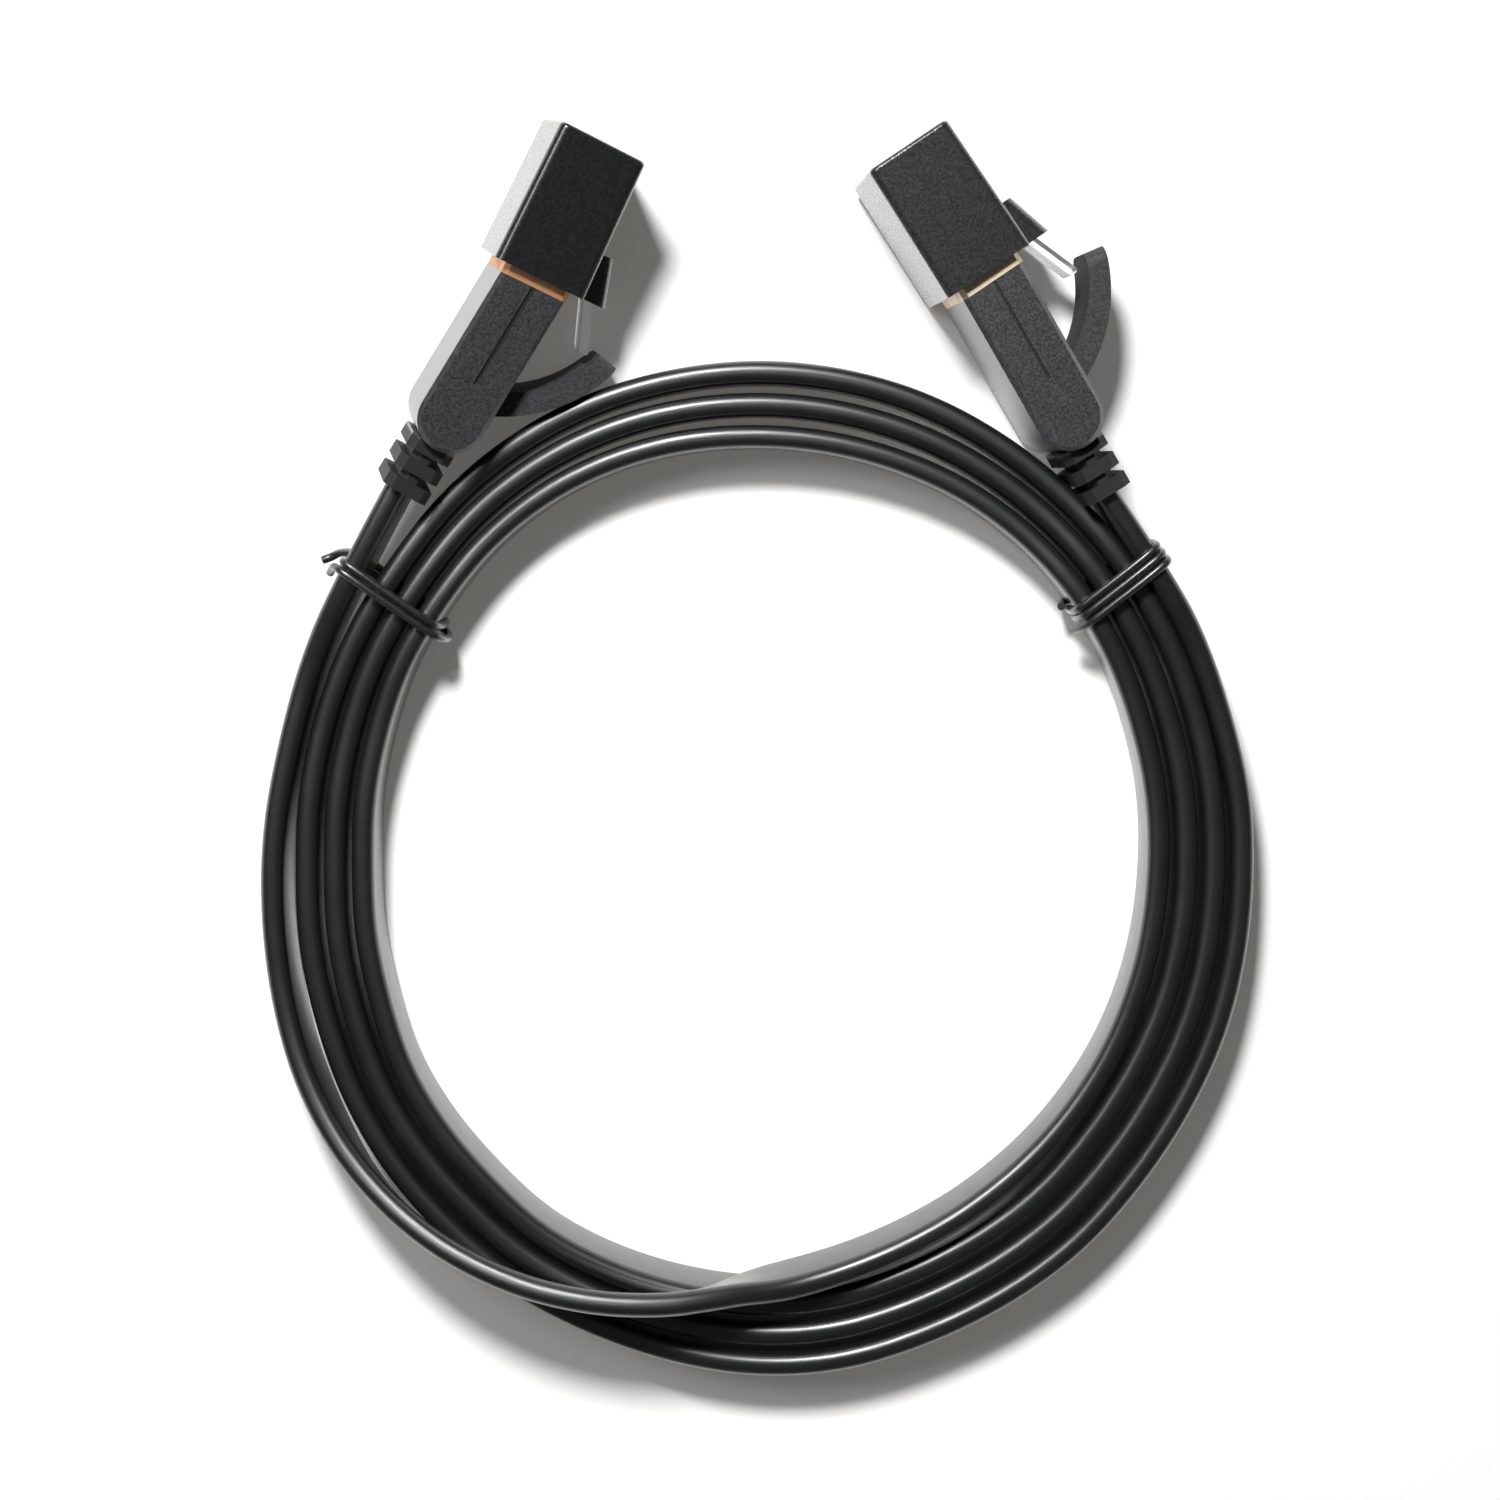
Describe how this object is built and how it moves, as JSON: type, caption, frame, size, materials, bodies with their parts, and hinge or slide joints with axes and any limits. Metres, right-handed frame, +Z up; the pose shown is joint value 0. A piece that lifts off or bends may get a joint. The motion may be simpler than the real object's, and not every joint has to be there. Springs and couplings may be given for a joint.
{
  "type": "flat ethernet cable",
  "caption": "Black flat network patch cable, wound into a tied ring that lies on its edge, with a capped, booted modular plug at each end",
  "frame": {"origin": "on the floor, under the middle of the whole object's box", "axes": "+Z up from the floor; +Y from the ring's middle towards the plugs; +X to the right, seen from above with the plugs at the top"},
  "size_m": [0.0958, 0.1198, 0.0161],
  "materials": {
    "jacket": "semi-gloss soft vinyl",
    "tie": "coated soft wire",
    "clear_plastic": "clear moulding",
    "contact_gold": "thin gold plating",
    "shield_gold": "bright plated sheet",
    "load_bar": "milky moulding",
    "wire_insulation": "extruded insulation",
    "boot": "fine-grained moulding",
    "cap": "fine-grained soft moulding"
  },
  "bodies": {
    "cable": {"left_plug_housing": "clear_plastic", "left_contacts": "contact_gold", "left_shield": "shield_gold", "left_load_bar": "load_bar", "left_wires": "wire_insulation", "left_boot": "boot", "right_plug_housing": "clear_plastic", "right_contacts": "contact_gold", "right_shield": "shield_gold", "right_load_bar": "load_bar", "right_wires": "wire_insulation", "right_boot": "boot", "cable_coil": "jacket", "left_lead": "jacket", "right_lead": "jacket", "left_tie": "tie", "right_tie": "tie"},
    "left_latch_lever": {"left_latch": "clear_plastic"},
    "left_cap": {"left_dust_cap": "cap"},
    "right_latch_lever": {"right_latch": "clear_plastic"},
    "right_cap": {"right_dust_cap": "cap"}
  },
  "joints": [
    {"name": "left_latch_press", "type": "hinge", "parent": "cable", "child": "left_latch_lever", "pos_m": [-0.01408, 0.05454, 0.00786], "axis": [-0.2162, 0.1811, -0.9594], "range_deg": [0, 8], "stiffness_Nm_per_rad": 0.5},
    {"name": "left_cap_pull", "type": "slide", "parent": "cable", "child": "left_cap", "axis": [0.4404, 0.8951, 0.0698], "range_m": [0, 0.015]},
    {"name": "right_latch_press", "type": "hinge", "parent": "cable", "child": "right_latch_lever", "pos_m": [0.01646, 0.05549, 0.00747], "axis": [-0.0648, 0.0153, -0.9978], "range_deg": [0, 8], "stiffness_Nm_per_rad": 0.5},
    {"name": "right_cap_pull", "type": "slide", "parent": "cable", "child": "right_cap", "axis": [-0.5556, 0.83, 0.0489], "range_m": [0, 0.015]}
  ]
}
